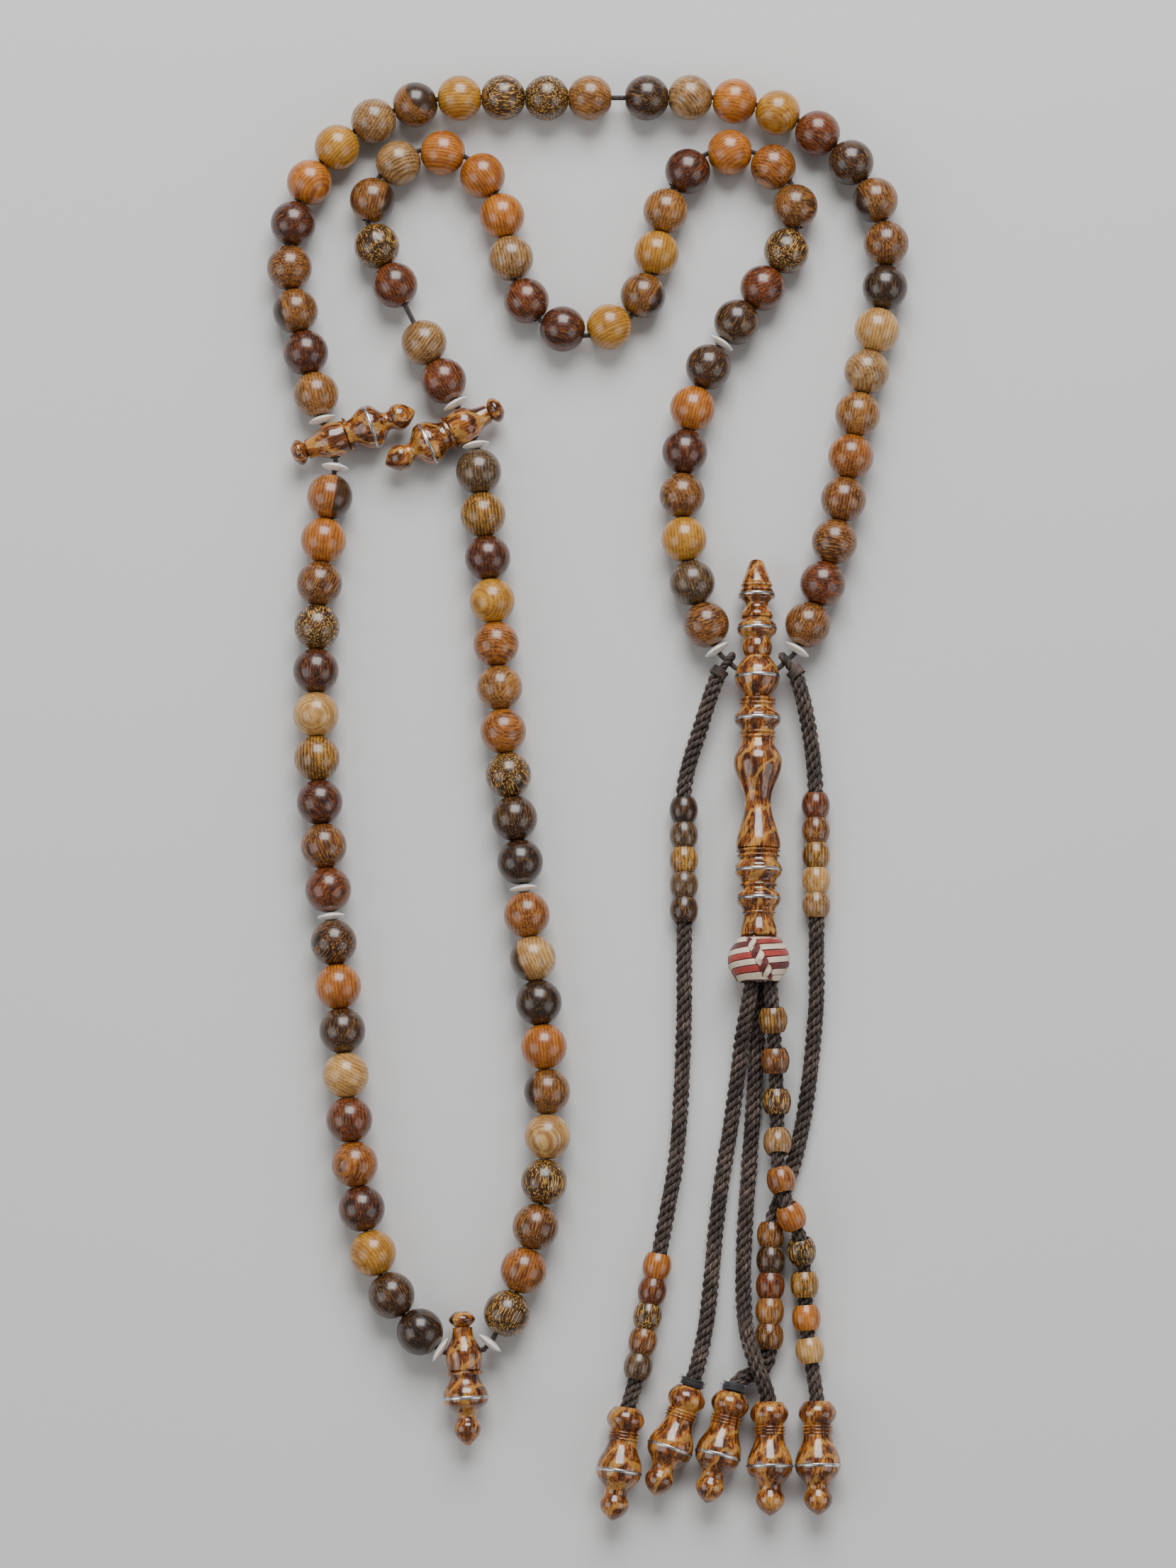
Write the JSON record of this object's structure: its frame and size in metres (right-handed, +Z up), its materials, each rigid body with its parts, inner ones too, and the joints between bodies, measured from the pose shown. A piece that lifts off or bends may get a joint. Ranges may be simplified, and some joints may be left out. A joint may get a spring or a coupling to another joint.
{
  "type": "prayer beads",
  "caption": "Misbaha prayer beads: wooden beads on a string with turned separators, a pendant, a turned tower and a braided tassel with counters and end pieces.",
  "frame": {"origin": "on the table under the middle of the laid-out object's box", "axes": "+Z up from the table, +Y from the tassel to the far arch of beads, +X towards the tower's side"},
  "size_m": [0.113, 0.2525, 0.0108],
  "materials": {
    "bead_wood": "satin, polished, grain from tan to near black",
    "counter_wood": "satin, polished",
    "figured_wood": "glossy, figured",
    "spacers": "gloss",
    "silver": "polished wire",
    "string": "twisted thread",
    "cord": "braided, slightly fuzzy",
    "woven_thread": "satin thread in red, maroon and cream",
    "binding_thread": "fine black thread"
  },
  "bodies": {
    "strand": {"main_string": "string", "tower_left_seven_beads": "bead_wood", "inner_arch_beads": "bead_wood", "right_separator_bead": "bead_wood", "right_strand_upper_ten": "bead_wood", "right_strand_lower_ten": "bead_wood", "left_strand_lower_ten": "bead_wood", "left_strand_upper_ten": "bead_wood", "outer_arch_left_beads": "bead_wood", "outer_arch_right_beads": "bead_wood", "spacer_discs": "spacers", "tower": "figured_wood", "tower_rings": "silver", "woven_knot": "woven_thread", "knot_core": "cord", "right_side_cord": "cord", "front_cord": "cord", "back_cord": "cord", "counter_cord": "cord", "right_cord_eye": "cord", "cord_end_knots": "cord", "thread_bindings": "binding_thread"},
    "counter_1_body": {"counter_1": "counter_wood"},
    "counter_2_body": {"counter_2": "counter_wood"},
    "counter_3_body": {"counter_3": "counter_wood"},
    "counter_4_body": {"counter_4": "counter_wood"},
    "counter_5_body": {"counter_5": "counter_wood"},
    "counter_6_body": {"counter_6": "counter_wood"},
    "counter_7_body": {"counter_7": "counter_wood"},
    "counter_8_body": {"counter_8": "counter_wood"},
    "counter_9_body": {"counter_9": "counter_wood"},
    "counter_10_body": {"counter_10": "counter_wood"},
    "left_upper_counters_body": {"left_upper_counters": "counter_wood"},
    "left_lower_counters_body": {"left_lower_counters": "counter_wood"},
    "right_upper_counters_body": {"right_upper_counters": "counter_wood"},
    "right_lower_counters_body": {"right_lower_counters": "counter_wood"},
    "inner_bead_body": {"inner_sliding_bead": "bead_wood"},
    "outer_bead_body": {"outer_sliding_bead": "bead_wood"},
    "left_separator_body": {"left_separator": "figured_wood", "left_separator_ring": "silver"},
    "right_separator_body": {"right_separator": "figured_wood", "right_separator_ring": "silver"},
    "pendant_body": {"pendant": "figured_wood", "pendant_ring": "silver"},
    "finial_1_body": {"finial_1": "figured_wood", "finial_ring_1": "silver"},
    "finial_2_body": {"finial_2": "figured_wood", "finial_ring_2": "silver"},
    "finial_3_body": {"finial_3": "figured_wood", "finial_ring_3": "silver"},
    "finial_4_body": {"finial_4": "figured_wood", "finial_ring_4": "silver"},
    "finial_5_body": {"finial_5": "figured_wood", "finial_ring_5": "silver"},
    "left_tassel_cord": {"left_side_cord": "cord", "left_cord_eye": "cord", "left_cord_end_knot": "cord"}
  },
  "joints": [
    {"name": "counter_1_slide", "type": "slide", "parent": "strand", "child": "counter_1_body", "axis": [0.0573, -0.988, -0.1432], "range_m": [0, 0.0022]},
    {"name": "counter_2_slide", "type": "slide", "parent": "strand", "child": "counter_2_body", "axis": [0.0424, -0.9891, -0.1413], "range_m": [0, 0.0023]},
    {"name": "counter_3_slide", "type": "slide", "parent": "strand", "child": "counter_3_body", "axis": [0.0141, -0.9995, -0.0282], "range_m": [0, 0.002]},
    {"name": "counter_4_slide", "type": "slide", "parent": "strand", "child": "counter_4_body", "axis": [0.0146, -0.9647, 0.2631], "range_m": [0, 0.0021]},
    {"name": "counter_5_slide", "type": "slide", "parent": "strand", "child": "counter_5_body", "axis": [0.2005, -0.9719, 0.1234], "range_m": [0, 0.0014]},
    {"name": "counter_6_slide", "type": "slide", "parent": "strand", "child": "counter_6_body", "axis": [0.3798, -0.9019, -0.2057], "range_m": [0, 0.0004]},
    {"name": "counter_7_slide", "type": "slide", "parent": "strand", "child": "counter_7_body", "axis": [0.1188, -0.9501, -0.2884], "range_m": [0, 0.0011]},
    {"name": "counter_8_slide", "type": "slide", "parent": "strand", "child": "counter_8_body", "axis": [0.035, -0.998, -0.0525], "range_m": [0, 0.0009]},
    {"name": "counter_9_slide", "type": "slide", "parent": "strand", "child": "counter_9_body", "axis": [0.0712, -0.9975, 0], "range_m": [0, 0.0008]},
    {"name": "counter_10_slide", "type": "slide", "parent": "strand", "child": "counter_10_body", "axis": [0.1414, -0.9899, 0.0141], "range_m": [0, 0.0023]},
    {"name": "left_upper_counters_slide", "type": "slide", "parent": "left_tassel_cord", "child": "left_upper_counters_body", "axis": [0, -1, 0], "range_m": [0, 0.012]},
    {"name": "left_lower_counters_slide", "type": "slide", "parent": "left_tassel_cord", "child": "left_lower_counters_body", "axis": [-0.1868, -0.9824, 0], "range_m": [-0.012, 0.0014]},
    {"name": "right_upper_counters_slide", "type": "slide", "parent": "strand", "child": "right_upper_counters_body", "axis": [0, -1, 0], "range_m": [0, 0.012]},
    {"name": "right_lower_counters_slide", "type": "slide", "parent": "strand", "child": "right_lower_counters_body", "axis": [-0.0272, -0.9996, 0], "range_m": [0, 0.0014]},
    {"name": "inner_bead_slide", "type": "slide", "parent": "strand", "child": "inner_bead_body", "axis": [-0.4472, 0.8944, 0], "range_m": [0, 0.0034]},
    {"name": "outer_bead_slide", "type": "slide", "parent": "strand", "child": "outer_bead_body", "axis": [1, 0, 0], "range_m": [0, 0.0019]},
    {"name": "left_separator_swing", "type": "hinge", "parent": "strand", "child": "left_separator_body", "pos_m": [-0.04526, 0.0604, 0.004], "axis": [0.342, -0.9397, 0], "range_deg": [0, 180]},
    {"name": "right_separator_swing", "type": "hinge", "parent": "strand", "child": "right_separator_body", "pos_m": [-0.02126, 0.0635, 0.004], "axis": [-0.454, 0.891, 0], "range_deg": [0, 180]},
    {"name": "pendant_swing", "type": "hinge", "parent": "strand", "child": "pendant_body", "pos_m": [-0.02126, -0.0978, 0.004], "axis": [-0.9986, -0.0523, 0], "range_deg": [0, 40]},
    {"name": "finial_1_twist", "type": "hinge", "parent": "left_tassel_cord", "child": "finial_1_body", "pos_m": [0.00674, -0.1072, 0.00334], "axis": [-0.1389, -0.9881, 0.0663], "range_deg": [-180, 180]},
    {"name": "finial_2_twist", "type": "hinge", "parent": "strand", "child": "finial_2_body", "pos_m": [0.01749, -0.1038, 0.00334], "axis": [-0.3249, -0.9434, 0.0663], "range_deg": [-180, 180]},
    {"name": "finial_3_twist", "type": "hinge", "parent": "strand", "child": "finial_3_body", "pos_m": [0.02474, -0.1046, 0.00334], "axis": [-0.2414, -0.9682, 0.0663], "range_deg": [-180, 180]},
    {"name": "finial_4_twist", "type": "hinge", "parent": "strand", "child": "finial_4_body", "pos_m": [0.03094, -0.1062, 0.00334], "axis": [0, -0.9978, 0.0663], "range_deg": [-180, 180]},
    {"name": "finial_5_twist", "type": "hinge", "parent": "strand", "child": "finial_5_body", "pos_m": [0.03914, -0.1061, 0.00334], "axis": [0, -0.9978, 0.0663], "range_deg": [-180, 180]},
    {"name": "left_tassel_cord_swing", "type": "hinge", "parent": "strand", "child": "left_tassel_cord", "pos_m": [0.02429, 0.02145, 0.004], "axis": [0, 0, 1], "range_deg": [-5, 0]}
  ]
}
